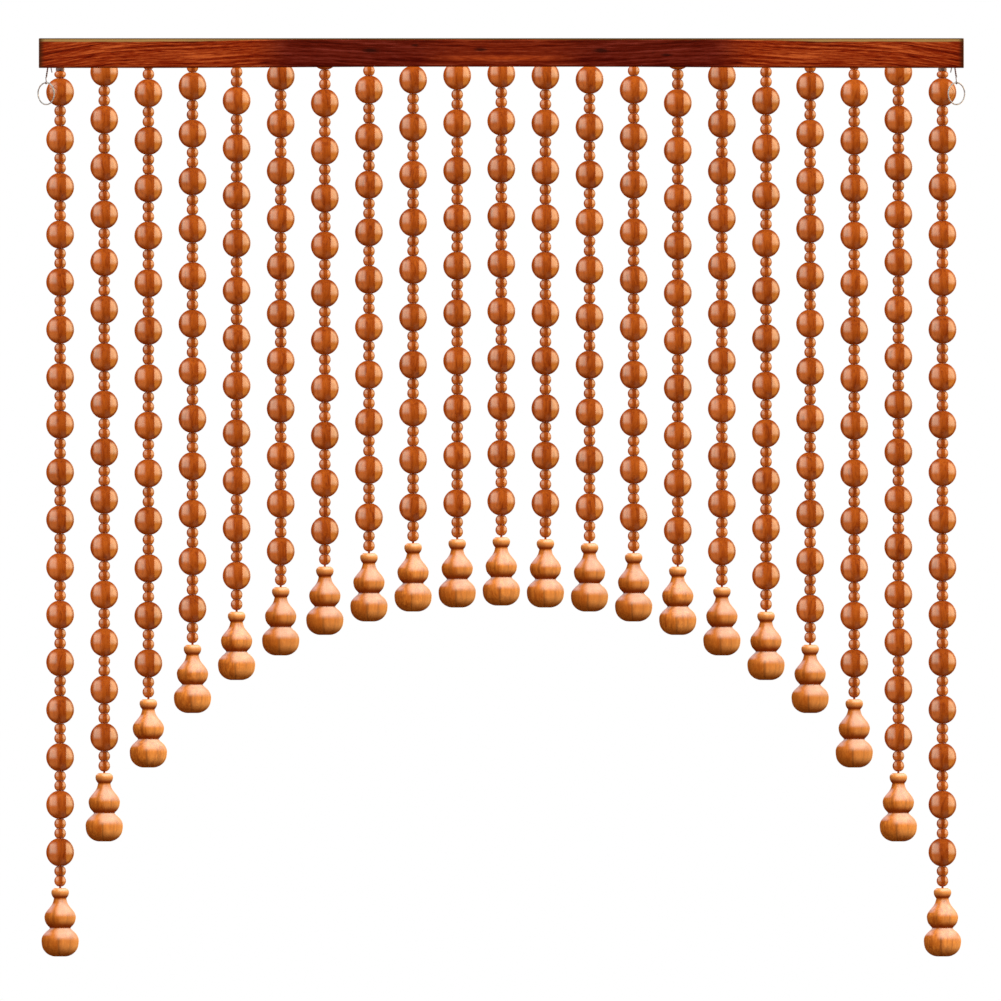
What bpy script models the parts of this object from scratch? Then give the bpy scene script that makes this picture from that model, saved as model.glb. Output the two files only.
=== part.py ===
"""Bead curtain: strands of turned wooden beads and gourd pendants under a grooved wooden rail.

Metres, +Z up. X runs along the rail and -Y is the front. The origin is the centre of the rail's top face.
"""

import itertools
import math
from collections import namedtuple

import bmesh
import bpy
from mathutils import Matrix, Vector

MM = 0.001
GAP = 0.3 * MM  # between pieces that touch on the real thing
NEAR = 0.1 * MM  # a corner this close to a plane lies on it

# Rail: a bar with a groove from below, which stops short of both ends
RAIL_LENGTH = 662.0 * MM
RAIL_DEPTH = 30.0 * MM
RAIL_HEIGHT = 21.3 * MM
RAIL_WEB = 2.0 * MM  # wood above the groove
RAIL_TOP_CHAMFER = 2.2 * MM
RAIL_EDGE_CHAMFER = 0.6 * MM
GROOVE_WIDTH = 22.0 * MM

# Strands, counted from left to right
STRANDS = 21
STRAND_PITCH = 31.57 * MM
GROOVE_LENGTH = (STRANDS - 2) * STRAND_PITCH
# Drop from the rail's top to a pendant's foot, from the outermost strand to the middle one
DROPS = [mm * MM for mm in (657.1, 574.8, 521.9, 482.9, 459.3, 441.7, 427.0, 417.4, 410.3, 407.4, 406.0)]

# Beads: height along the strand, widest radius, how far from the middle that radius is kept, and sides
Bead = namedtuple("Bead", "height radius shoulder sides")
BIG_BEAD = Bead(20.0 * MM, 10.0 * MM, 3.4 * MM, 6)
SMALL_BEAD = Bead(7.0 * MM, 4.2 * MM, 0.0, 4)
STRINGING = (SMALL_BEAD, SMALL_BEAD, BIG_BEAD)  # from the pendant up
NECK_RADIUS = 2.9 * MM
NECK_SIDES = 3
CORD_RADIUS = 1.0 * MM
FOOT_RADIUS = 2.2 * MM
FOOT_LENGTH = 1.4 * MM  # bare cord between the lowest bead and the pendant
SHARP_ANGLE = math.radians(75)

# Gourd pendant: depth below the collar's top, and radius
Turn = namedtuple("Turn", "depth radius")
GOURD_HEIGHT = 48.9 * MM
GOURD_OUTLINE = (
    Turn(0.0, 4.3 * MM),  # collar's top
    Turn(2.9 * MM, 6.3 * MM),  # collar's edge
    Turn(7.5 * MM, 4.5 * MM),  # neck
    Turn(17.0 * MM, 10.6 * MM),  # small bulb, upper side
    Turn(23.6 * MM, 10.9 * MM),  # small bulb, lower side
    Turn(28.7 * MM, 7.4 * MM),  # waist
    Turn(35.0 * MM, 13.3 * MM),  # large bulb, upper side
    Turn(42.4 * MM, 12.9 * MM),  # large bulb, lower side
    Turn(GOURD_HEIGHT, 5.4 * MM),  # foot
)
GOURD_SIDES = 6

# Metal cap on the top bead of both outermost strands
CAP_OUTLINE = (
    Turn(0.0, 2.6 * MM),
    Turn(2.1 * MM, 3.1 * MM),
)
CAP_HEIGHT = CAP_OUTLINE[-1].depth
CAP_SIDES = 8

# Hanging rings and their wires, measured from the rail's middle
RING_X = 325.7 * MM
RING_Y = -10.0 * MM
RING_Z = -39.6 * MM
RING_RADIUS = 7.8 * MM  # to the wire's middle
RING_WIRE_RADIUS = 0.5 * MM
RING_SEGMENTS = 12
RING_WIRE_SIDES = 4
RING_TURN = math.radians(41.7)  # how far the ring's inner side is swung to the front
LINK_WIRE_RADIUS = 0.35 * MM
LINK_HOOK_RADIUS = 1.3 * MM
LINK_HOOK_SIXTHS = 5  # how many sixths of a turn the hook goes round the ring
LINK_TOP = Vector((324.6 * MM, RING_Y, -RAIL_HEIGHT - GAP))
LINK_KNEE = Vector((325.5 * MM, RING_Y, -28.3 * MM))
WIRE_END_TOP = Vector((322.1 * MM, RING_Y, -RAIL_HEIGHT - 1.5 * GAP))
WIRE_END_FOOT = Vector((321.5 * MM, RING_Y, -24.1 * MM))


def srgb(red, green, blue):
    """Turn a colour from screen values of 0 to 255 into Blender's linear values."""
    channels = [value / 255 for value in (red, green, blue)]
    return [c / 12.92 if c <= 0.04045 else ((c + 0.055) / 1.055) ** 2.4 for c in channels]


def make_material(name, colour, roughness, metallic=0.0):
    material = bpy.data.materials.new(name)
    material.use_nodes = True
    shader = material.node_tree.nodes["Principled BSDF"]
    shader.inputs["Base Color"].default_value = (*colour, 1.0)
    shader.inputs["Roughness"].default_value = roughness
    shader.inputs["Metallic"].default_value = metallic
    material.diffuse_color = (*colour, 1.0)
    return material


def rosewood():
    return make_material("rosewood", srgb(120, 40, 22), 0.4)


def bead_wood():
    return make_material("bead_wood", srgb(180, 88, 36), 0.25)


def gourd_wood():
    return make_material("gourd_wood", srgb(200, 120, 58), 0.35)


def steel():
    return make_material("steel", srgb(165, 163, 160), 0.3, 1.0)


def dark_metal():
    return make_material("dark_metal", srgb(70, 58, 55), 0.4, 1.0)


def remove_all_objects():
    for item in list(bpy.data.objects):
        bpy.data.objects.remove(item, do_unlink=True)


def new_collection(name):
    collection = bpy.data.collections.new(name)
    bpy.context.scene.collection.children.link(collection)
    return collection


def add_object(name, data, material, collection):
    piece = bpy.data.objects.new(name, data)
    if material:
        data.materials.append(material)
    collection.objects.link(piece)
    return piece


def box_mesh(name, size, centre):
    mesh = bpy.data.meshes.new(name)
    bm = bmesh.new()
    bmesh.ops.create_cube(bm, size=1.0, matrix=Matrix.Translation(centre) @ Matrix.Diagonal((*size, 1.0)))
    bm.to_mesh(mesh)
    bm.free()
    return mesh


def chamfer_rail(mesh):
    """Take a wide chamfer off the top's long edges and a narrow one off all the others."""
    bm = bmesh.new()
    bm.from_mesh(mesh)
    long_edges = [e for e in bm.edges if e.calc_length() > RAIL_DEPTH + NEAR]
    top_edges = [e for e in long_edges if all(v.co.z > -NEAR for v in e.verts)]
    bmesh.ops.bevel(bm, geom=top_edges, offset=RAIL_TOP_CHAMFER, affect="EDGES", segments=1)
    end = RAIL_LENGTH / 2 - NEAR
    foot = NEAR - RAIL_HEIGHT
    sharp_edges = []
    for edge in bm.edges:
        corners = [vertex.co for vertex in edge.verts]
        at_an_end = all(abs(c.x) > end for c in corners) and corners[0].x * corners[1].x > 0
        if at_an_end or all(c.z < foot for c in corners):
            sharp_edges.append(edge)
    bmesh.ops.bevel(bm, geom=sharp_edges, offset=RAIL_EDGE_CHAMFER, affect="EDGES", segments=1)
    bm.to_mesh(mesh)
    bm.free()


def build_rail(parts, cutters, material):
    centre = Vector((0.0, 0.0, -RAIL_HEIGHT / 2))
    mesh = box_mesh("rail", (RAIL_LENGTH, RAIL_DEPTH, RAIL_HEIGHT), centre)
    chamfer_rail(mesh)
    rail = add_object("rail", mesh, material, parts)
    groove_size = (GROOVE_LENGTH, GROOVE_WIDTH, RAIL_HEIGHT)
    groove_mesh = box_mesh("rail_groove", groove_size, centre - Vector((0.0, 0.0, RAIL_WEB)))
    groove = add_object("rail_groove", groove_mesh, None, cutters)
    groove.hide_render = True
    groove.display_type = "WIRE"
    cut = rail.modifiers.new("groove", "BOOLEAN")
    cut.operation = "DIFFERENCE"
    cut.object = groove


Section = namedtuple("Section", "z radius sides")


def strand_sections(foot, ceiling):
    """List a strand's cross-sections from its foot up, bead by bead, until the rail hides the next bead."""
    sections = [Section(foot, FOOT_RADIUS, NECK_SIDES)]
    z = foot + FOOT_LENGTH
    for bead in itertools.cycle(STRINGING):
        middle = z + bead.height / 2
        sections.append(Section(middle - bead.shoulder, bead.radius, bead.sides))
        if bead.shoulder:
            sections.append(Section(middle + bead.shoulder, bead.radius, bead.sides))
        z += bead.height
        if z > ceiling:
            # The bead under a metal cap is flat where the cap sits on it
            cut_radius = math.sqrt(bead.radius**2 - (ceiling - middle) ** 2)
            sections.append(Section(ceiling, cut_radius, bead.sides))
            return sections
        if z > -RAIL_HEIGHT:
            break
        sections.append(Section(z, NECK_RADIUS, NECK_SIDES))
    if ceiling - z > NECK_RADIUS:
        sections.append(Section(z, CORD_RADIUS, NECK_SIDES))
        sections.append(Section(ceiling, CORD_RADIUS, NECK_SIDES))
    else:
        sections.append(Section(z, NECK_RADIUS, NECK_SIDES))
    return sections


def corner_angle(sides, step):
    """Give a corner's angle: from the front, or half a side past it so that six sides have one at +X."""
    start = -math.pi / 2
    if sides % 4 == 2:
        start += math.pi / sides
    return start + step * math.tau / sides


def ring_of_corners(bm, section):
    corners = []
    for step in range(section.sides):
        angle = corner_angle(section.sides, step)
        x = section.radius * math.cos(angle)
        y = section.radius * math.sin(angle)
        corners.append(bm.verts.new((x, y, section.z)))
    return corners


def loft(name, sections):
    """Join cross-sections of unlike sides with triangles, each taking the corner that comes next in angle."""
    mesh = bpy.data.meshes.new(name)
    bm = bmesh.new()
    rings = [ring_of_corners(bm, section) for section in sections]
    for lower, upper in itertools.pairwise(rings):
        i = j = 0
        while i < len(lower) or j < len(upper):
            low = lower[i % len(lower)]
            high = upper[j % len(upper)]
            low_comes_first = corner_angle(len(lower), i + 1) <= corner_angle(len(upper), j + 1)
            if j == len(upper) or (i < len(lower) and low_comes_first):
                i += 1
                bm.faces.new((low, lower[i % len(lower)], high))
            else:
                j += 1
                bm.faces.new((low, upper[j % len(upper)], high))
    bm.faces.new(reversed(rings[0]))
    bm.faces.new(rings[-1])
    bm.to_mesh(mesh)
    bm.free()
    mesh.shade_smooth()
    mesh.set_sharp_from_angle(angle=SHARP_ANGLE)
    return mesh


def turned_profile(name, outline):
    """Draw a turned piece's half outline, closed on the axis at its top and its foot."""
    closed = (Turn(outline[0].depth, 0.0), *outline, Turn(outline[-1].depth, 0.0))
    mesh = bpy.data.meshes.new(name)
    bm = bmesh.new()
    points = [bm.verts.new((turn.radius, 0.0, -turn.depth)) for turn in closed]
    for start, end in itertools.pairwise(points):
        bm.edges.new((start, end))
    bm.to_mesh(mesh)
    bm.free()
    return mesh


def spin(piece, sides):
    """Turn a half outline round its own Z axis."""
    screw = piece.modifiers.new("turning", "SCREW")
    screw.axis = "Z"
    screw.steps = sides
    screw.render_steps = sides
    screw.use_merge_vertices = True
    screw.merge_threshold = 0.00001
    screw.use_smooth_shade = True


def build_strands(parts, bead_material, gourd_material):
    middle = STRANDS // 2
    inner_ceiling = -RAIL_WEB - GAP
    outer_ceiling = -RAIL_HEIGHT - CAP_HEIGHT - 2 * GAP
    for number in range(1, STRANDS + 1):
        from_middle = number - 1 - middle
        x = from_middle * STRAND_PITCH
        from_outside = middle - abs(from_middle)
        gourd_top = GOURD_HEIGHT - DROPS[from_outside]
        ceiling = inner_ceiling if from_outside else outer_ceiling
        strand_mesh = loft(f"strand_{number:02d}", strand_sections(gourd_top + GAP, ceiling))
        strand = add_object(f"strand_{number:02d}", strand_mesh, bead_material, parts)
        strand.location.x = x
        gourd_mesh = turned_profile(f"gourd_{number:02d}", GOURD_OUTLINE)
        gourd = add_object(f"gourd_{number:02d}", gourd_mesh, gourd_material, parts)
        gourd.location = (x, 0.0, gourd_top)
        spin(gourd, GOURD_SIDES)


def build_cap(side, mirror, parts, material):
    cap = add_object(f"cap_{side}", turned_profile(f"cap_{side}", CAP_OUTLINE), material, parts)
    cap.location = (mirror * (STRANDS // 2) * STRAND_PITCH, 0.0, -RAIL_HEIGHT - GAP)
    spin(cap, CAP_SIDES)


def build_ring(side, mirror, parts, material):
    bpy.ops.mesh.primitive_torus_add(
        major_segments=RING_SEGMENTS,
        minor_segments=RING_WIRE_SIDES,
        major_radius=RING_RADIUS,
        minor_radius=RING_WIRE_RADIUS,
        location=(mirror * RING_X, RING_Y, RING_Z),
        rotation=(math.pi / 2, 0.0, mirror * RING_TURN),
    )
    ring = bpy.context.object
    ring.name = f"ring_{side}"
    ring.data.name = f"ring_{side}"
    ring.data.materials.append(material)
    for collection in list(ring.users_collection):
        collection.objects.unlink(ring)
    parts.objects.link(ring)


def mirrored(point, mirror):
    return Vector((mirror * point.x, point.y, point.z))


def build_wire(name, points, parts, material):
    curve = bpy.data.curves.new(name, "CURVE")
    curve.dimensions = "3D"
    curve.bevel_depth = LINK_WIRE_RADIUS
    curve.bevel_resolution = 2
    curve.use_fill_caps = True
    spline = curve.splines.new("POLY")
    spline.points.add(len(points) - 1)
    for target, point in zip(spline.points, points):
        target.co = (*point, 1.0)
    return add_object(name, curve, material, parts)


def build_link(side, mirror, parts, material):
    """Lead a wire from the rail's underside down to the ring, and hook it round the ring's top."""
    hook_centre = Vector((mirror * RING_X, RING_Y, RING_Z + RING_RADIUS))
    up = Vector((0.0, 0.0, LINK_HOOK_RADIUS))
    across = LINK_HOOK_RADIUS * Vector((-mirror * math.sin(RING_TURN), math.cos(RING_TURN), 0.0))
    points = [mirrored(LINK_TOP, mirror), mirrored(LINK_KNEE, mirror)]
    for sixths in range(LINK_HOOK_SIXTHS + 1):
        angle = sixths * math.tau / 6
        points.append(hook_centre + up * math.cos(angle) + across * math.sin(angle))
    build_wire(f"link_{side}", points, parts, material)


def build_wire_end(side, mirror, parts, material):
    points = [mirrored(WIRE_END_TOP, mirror), mirrored(WIRE_END_FOOT, mirror)]
    build_wire(f"wire_end_{side}", points, parts, material)


def main():
    remove_all_objects()
    parts = new_collection("bead_curtain")
    cutters = new_collection("cutters")
    build_rail(parts, cutters, rosewood())
    build_strands(parts, bead_wood(), gourd_wood())
    wire = steel()
    cap_metal = dark_metal()
    for side, mirror in (("left", -1), ("right", 1)):
        build_cap(side, mirror, parts, cap_metal)
        build_ring(side, mirror, parts, wire)
        build_link(side, mirror, parts, wire)
        build_wire_end(side, mirror, parts, wire)


main()
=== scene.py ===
"""Bead curtain: finished wood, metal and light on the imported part.

Metres, +Z up. X runs along the rail, -Y is the front, and the origin is the centre of the rail's top face.
"""

import itertools
import math
import random
from collections import namedtuple

import bmesh
import bpy
import numpy as np
from mathutils import Matrix, Vector

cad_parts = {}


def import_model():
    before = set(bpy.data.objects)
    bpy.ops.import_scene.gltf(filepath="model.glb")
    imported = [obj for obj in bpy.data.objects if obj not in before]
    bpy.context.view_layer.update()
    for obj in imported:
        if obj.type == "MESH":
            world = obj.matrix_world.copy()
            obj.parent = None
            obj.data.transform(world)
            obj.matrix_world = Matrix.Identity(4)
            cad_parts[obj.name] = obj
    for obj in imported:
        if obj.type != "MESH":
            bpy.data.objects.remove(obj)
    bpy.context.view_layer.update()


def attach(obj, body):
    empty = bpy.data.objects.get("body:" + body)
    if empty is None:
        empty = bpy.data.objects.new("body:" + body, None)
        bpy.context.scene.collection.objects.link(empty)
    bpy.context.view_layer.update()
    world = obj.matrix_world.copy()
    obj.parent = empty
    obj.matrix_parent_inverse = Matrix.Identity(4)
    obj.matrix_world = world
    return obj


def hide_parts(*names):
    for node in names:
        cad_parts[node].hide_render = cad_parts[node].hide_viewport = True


MM = 0.001
PIXEL = 0.7156 * MM  # one pixel of the photo on the object
PICTURE_PIXELS = 1001
LOOK_AT = Vector((-0.58 * MM, 0.0, -330.8 * MM))
CAMERA_DISTANCE = 2.0

RAIL_LENGTH = 662.0 * MM
RAIL_DEPTH = 30.0 * MM
RAIL_HEIGHT = 21.3 * MM
RAIL_WEB = 2.0 * MM
RAIL_TOP_ROUND = 2.2 * MM
RAIL_EDGE_ROUND = 0.6 * MM
GROOVE_WIDTH = 22.0 * MM
ARCH_RISE = 0.9 * MM
ARCH_FLAT = 60.0 * MM
ARCH_END = 245.0 * MM
ARCH_STEPS = 8
# Dark knots on the rail's front in millimetres: x, z and half height
KNOTS = ((-93.5, -8.8, 1.7), (-14.7, -8.1, 1.3), (71.1, -8.8, 1.6), (-62.0, -5.0, 0.8), (118.0, -12.0, 1.0))

STRANDS = 21
STRAND_PITCH = 31.57 * MM
GAP = 0.3 * MM
# Drop from the rail's top to a pendant's foot, from the outermost strand to the middle one
DROPS = [mm * MM for mm in (657.1, 574.8, 521.9, 482.9, 459.3, 441.7, 427.0, 417.4, 410.3, 407.4, 406.0)]
FOOT_LENGTH = 1.4 * MM  # bare cord between the lowest bead and the pendant

# The curve height is half the height that a bead would have without the flats at its holes
Bead = namedtuple("Bead", "height radius curve_height rings segments")
BIG_BEAD = Bead(20.0 * MM, 10.0 * MM, 10.25 * MM, 20, 36)
SMALL_BEAD = Bead(7.0 * MM, 4.2 * MM, 4.2 * MM, 10, 22)
STRINGING = (SMALL_BEAD, SMALL_BEAD, BIG_BEAD)  # from the pendant up
BEAD_CLEARANCE = 0.02 * MM  # at each end of a bead, so that no two faces coincide
HOLE_RADIUS = 1.1 * MM
HOLE_LIP = 0.25 * MM
CORD_RADIUS = 0.8 * MM
CORD_SIDES = 8
CORD_IN_GOURD = 4.0 * MM

# Gourd pendant from the collar's top down: depth and radius in mm, in three smooth runs that meet in creases
GOURD_HEIGHT = 48.9 * MM
COLLAR = (
    (0.0, 3.7), (0.15, 4.35), (0.8, 5.4), (1.7, 6.05), (2.9, 6.3), (4.3, 6.15), (5.7, 5.6), (6.7, 4.9),
    (7.3, 4.45),
)
UPPER_BULB = (
    (7.3, 4.45), (9.4, 4.9), (11.0, 5.5), (12.4, 6.4), (13.8, 7.5), (15.2, 8.7), (16.6, 9.75),
    (18.2, 10.7), (20.4, 11.25), (22.9, 10.95), (24.6, 10.4), (26.1, 9.5), (27.4, 8.3), (28.5, 7.35),
)
LOWER_BULB = (
    (28.5, 7.35), (29.3, 8.0), (30.3, 9.1), (31.5, 10.5), (33.0, 11.8), (34.4, 12.65), (36.0, 13.2),
    (38.0, 13.35), (40.6, 13.1), (42.4, 12.65), (44.0, 11.9), (45.5, 10.8), (46.8, 9.4), (47.8, 7.8),
    (48.5, 6.0), (48.85, 4.4), (48.9, 3.0),
)
CREASE_RISE = 0.5 * MM  # the painted shade of a crease is deepest this far above it, and reaches up and down
CREASE_ABOVE = 3.1 * MM
CREASE_BELOW = 0.7 * MM
# Dark lines down a pendant: place from -1 on the left to 1 on the right, half width, depths in mm, strength
GRAIN_LINES = (
    (-0.08, 0.06, 34.0, 50.0, 0.50),
    (0.53, 0.05, 35.0, 47.0, 0.30),
    (0.70, 0.06, 31.0, 36.0, 0.35),
    (-0.42, 0.09, 14.0, 26.0, 0.40),
    (0.46, 0.05, 18.0, 28.0, 0.40),
    (0.30, 0.06, 6.0, 12.0, 0.30),
)
GOURD_SEGMENTS = 48
POINTS_PER_SPAN = 2
GOURD_HOLE_DEPTH = 5.0 * MM
TURNING_SEED = 7

CAP_HEIGHT = 1.4 * MM
CAP_RADIUS = 3.2 * MM
CAP_HOLE_RADIUS = 0.9 * MM
CAP_SEGMENTS = 32

RING_X = 325.7 * MM
RING_Y = -10.0 * MM
RING_Z = -39.6 * MM
RING_RADIUS = 7.8 * MM
RING_WIRE_RADIUS = 0.5 * MM
RING_STEPS = 64
RING_TURN = math.radians(41.7)  # how far the ring's inner side is swung to the front
LINK_WIRE_RADIUS = 0.33 * MM
LINK_TWISTS = 2.5
LINK_STEPS = 28
LINK_HOOK_RADIUS = 0.85 * MM
LINK_HOOK_TURN = math.tau * 5 / 6
LINK_HOOK_STEPS = 24
LINK_TOP = Vector((324.6 * MM, RING_Y, -RAIL_HEIGHT))
LINK_KNEE = Vector((325.6 * MM, RING_Y, -27.9 * MM))
WIRE_END_RADIUS = 0.4 * MM
WIRE_END_TOP = Vector((322.2 * MM, RING_Y, -RAIL_HEIGHT))
WIRE_END_FOOT = Vector((321.5 * MM, RING_Y, -24.6 * MM))

FLOOR_Z = -800.0 * MM
FLOOR_REACH = 6.0

# Windows and dimmer patches that polish reflects: left, right, foot and top as (place, fade), then the light.
# The places are where a ball shows them, in radii from its middle.
PANES = (
    (((-0.76, 0.12), (-0.18, 0.14), (-0.62, 0.18), (0.05, 0.15)), (3.9, 1.4, 0.42)),
    (((0.43, 0.05), (1.10, 0.05), (-0.66, 0.16), (0.05, 0.15)), (5.9, 2.4, 0.4)),
    (((0.05, 0.12), (0.43, 0.06), (-0.85, 0.10), (-0.45, 0.15)), (0.9, 0.5, 0.25)),
    (((-0.75, 0.10), (-0.27, 0.13), (-0.05, 0.15), (0.62, 0.16)), (6.6, 5.5, 4.0)),
    (((0.43, 0.05), (1.10, 0.05), (-0.08, 0.15), (0.64, 0.16)), (11.0, 7.4, 3.9)),
)
PENDANT_PANES = (
    (((-0.60, 0.20), (0.20, 0.25), (0.12, 0.25), (0.85, 0.20)), (2.6, 1.3, 0.4)),
    (((-1.10, 0.05), (-0.48, 0.16), (0.53, 0.15), (1.10, 0.05)), (3.5, 3.9, 4.2)),
    (((-0.02, 0.22), (1.10, 0.05), (-0.52, 0.34), (0.30, 0.22)), (5.8, 2.8, 0.8)),
    (((0.48, 0.24), (1.10, 0.05), (0.16, 0.22), (1.10, 0.05)), (5.6, 4.6, 3.2)),
    (((-0.18, 0.20), (0.58, 0.22), (0.22, 0.24), (0.82, 0.22)), (9.3, 9.3, 7.7)),
)
LIGHT_FROM_ABOVE = (2.95, 3.12, 2.95)
LIGHT_FROM_BELOW = (0.08, 0.0, 0.0)
PENDANT_SUN = 6.6


def make_camera():
    data = bpy.data.cameras.new("camera")
    data.type = "ORTHO"
    data.ortho_scale = PICTURE_PIXELS * PIXEL
    data.clip_end = 20.0
    camera = bpy.data.objects.new("camera", data)
    camera.location = LOOK_AT - Vector((0.0, CAMERA_DISTANCE, 0.0))
    camera.rotation_euler = (math.pi / 2, 0.0, 0.0)
    bpy.context.scene.collection.objects.link(camera)
    bpy.context.scene.camera = camera


class Shader:
    """Adds nodes to one node tree. An input is a socket to link or a constant to set."""

    def __init__(self, tree):
        self.tree = tree

    def put(self, socket, value):
        if isinstance(value, bpy.types.NodeSocket):
            self.tree.links.new(value, socket)
        elif isinstance(value, (tuple, list, Vector)) and socket.type == "RGBA" and len(value) == 3:
            socket.default_value = (*value, 1.0)
        else:
            socket.default_value = value

    def node(self, kind, inputs=None, **settings):
        node = self.tree.nodes.new(kind)
        for name, value in settings.items():
            setattr(node, name, value)
        for name, value in (inputs or {}).items():
            self.put(node.inputs[name], value)
        return node

    def math(self, operation, a, b=0.0):
        return self.node("ShaderNodeMath", {0: a, 1: b}, operation=operation).outputs[0]

    def add(self, a, b):
        return self.math("ADD", a, b)

    def subtract(self, a, b):
        return self.math("SUBTRACT", a, b)

    def multiply(self, a, b):
        return self.math("MULTIPLY", a, b)

    def step(self, value, low, high, to_low=0.0, to_high=1.0):
        inputs = {"Value": value, "From Min": low, "From Max": high, "To Min": to_low, "To Max": to_high}
        return self.node("ShaderNodeMapRange", inputs, interpolation_type="SMOOTHSTEP").outputs[0]

    def mix(self, factor, a, b, blend="MIX"):
        node = self.node("ShaderNodeMix", data_type="RGBA", blend_type=blend)
        for index, value in ((0, factor), (6, a), (7, b)):
            self.put(node.inputs[index], value)
        return node.outputs[2]

    def noise(self, vector, scale, detail=3.0, roughness=0.5, distortion=0.0):
        inputs = {
            "Vector": vector,
            "Scale": scale,
            "Detail": detail,
            "Roughness": roughness,
            "Distortion": distortion,
        }
        return self.node("ShaderNodeTexNoise", inputs).outputs["Fac"]

    def stretch(self, vector, scale, location=(0.0, 0.0, 0.0)):
        inputs = {"Vector": vector, "Scale": scale, "Location": location}
        return self.node("ShaderNodeMapping", inputs).outputs[0]

    def ramp(self, factor, stops):
        node = self.node("ShaderNodeValToRGB", {"Fac": factor})
        ramp = node.color_ramp
        while len(ramp.elements) < len(stops):
            ramp.elements.new(0.5)
        for element, (position, colour) in zip(ramp.elements, stops):
            element.position = position
            element.color = (*colour, 1.0)
        return node.outputs[0]

    def attribute(self, name, output):
        return self.node("ShaderNodeAttribute", attribute_name=name).outputs[output]

    def combine(self, **places):
        return self.node("ShaderNodeCombineXYZ", places).outputs[0]

    def length(self, vector):
        return self.node("ShaderNodeVectorMath", {0: vector}, operation="LENGTH").outputs["Value"]

    def bump(self, height, distance, strength=1.0):
        inputs = {"Height": height, "Distance": distance, "Strength": strength}
        return self.node("ShaderNodeBump", inputs).outputs[0]

    def polish(self, start, end, least):
        """Full polish where the wood faces the eye, and less towards a ball's rim."""
        facing = self.node("ShaderNodeLayerWeight", {"Blend": 0.5}).outputs["Facing"]
        return self.step(facing, start, end, 1.0, least)


def srgb(red, green, blue):
    channels = [value / 255 for value in (red, green, blue)]
    return tuple(c / 12.92 if c <= 0.04045 else ((c + 0.055) / 1.055) ** 2.4 for c in channels)


def new_material(name):
    material = bpy.data.materials.new(name)
    material.use_nodes = True
    tree = material.node_tree
    tree.nodes.clear()
    shader = Shader(tree)
    surface = shader.node("ShaderNodeBsdfPrincipled")
    output = shader.node("ShaderNodeOutputMaterial")
    tree.links.new(surface.outputs[0], output.inputs["Surface"])
    return material, shader, surface


def bead_material():
    """Lacquered reddish wood with upright grain, fine pores and a colour of its own on each bead."""
    material, shader, surface = new_material("lacquered_bead_wood")
    grain_at = shader.attribute("grain_at", "Vector")
    tint = shader.attribute("tint", "Fac")
    cloud = shader.noise(shader.stretch(grain_at, (0.16, 0.16, 0.05)), 1.0, 2.0)
    rings = shader.noise(shader.stretch(grain_at, (0.55, 0.55, 0.035)), 1.0, 3.0, 0.55, 0.6)
    fibre = shader.noise(shader.stretch(grain_at, (2.6, 2.6, 0.16)), 1.0, 3.0, 0.6)
    pores = shader.noise(shader.stretch(grain_at, (6.5, 6.5, 0.7)), 1.0, 1.0)
    wood = shader.ramp(
        rings,
        (
            (0.30, srgb(108, 37, 6)),
            (0.45, srgb(136, 54, 10)),
            (0.60, srgb(153, 68, 15)),
            (0.75, srgb(127, 48, 9)),
        ),
    )
    wood = shader.mix(shader.step(fibre, 0.35, 0.75, 0.0, 0.4), wood, srgb(121, 44, 8))
    wood = shader.mix(shader.step(cloud, 0.35, 0.7, 0.0, 0.35), wood, srgb(170, 82, 22))
    wood = shader.mix(shader.step(pores, 0.66, 0.74, 0.0, 0.75), wood, srgb(66, 19, 4))
    darker = shader.mix(1.0, wood, srgb(230, 220, 212), "MULTIPLY")
    wood = shader.mix(shader.step(tint, 0.0, 1.0, 0.0, 0.7), wood, darker)
    shader.put(surface.inputs["Base Color"], wood)
    shader.put(surface.inputs["Roughness"], shader.step(fibre, 0.2, 0.8, 0.30, 0.42))
    surface.inputs["Specular IOR Level"].default_value = 0.0
    shader.put(surface.inputs["Coat Weight"], shader.polish(0.31, 0.65, 0.1))
    surface.inputs["Coat Roughness"].default_value = 0.05
    height = shader.subtract(shader.multiply(fibre, 0.3), shader.step(pores, 0.66, 0.74))
    shader.put(surface.inputs["Normal"], shader.bump(height, 0.05 * MM, 0.5))
    shader.put(surface.inputs["Coat Normal"], shader.bump(cloud, 0.1 * MM, 0.3))
    return material


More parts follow.
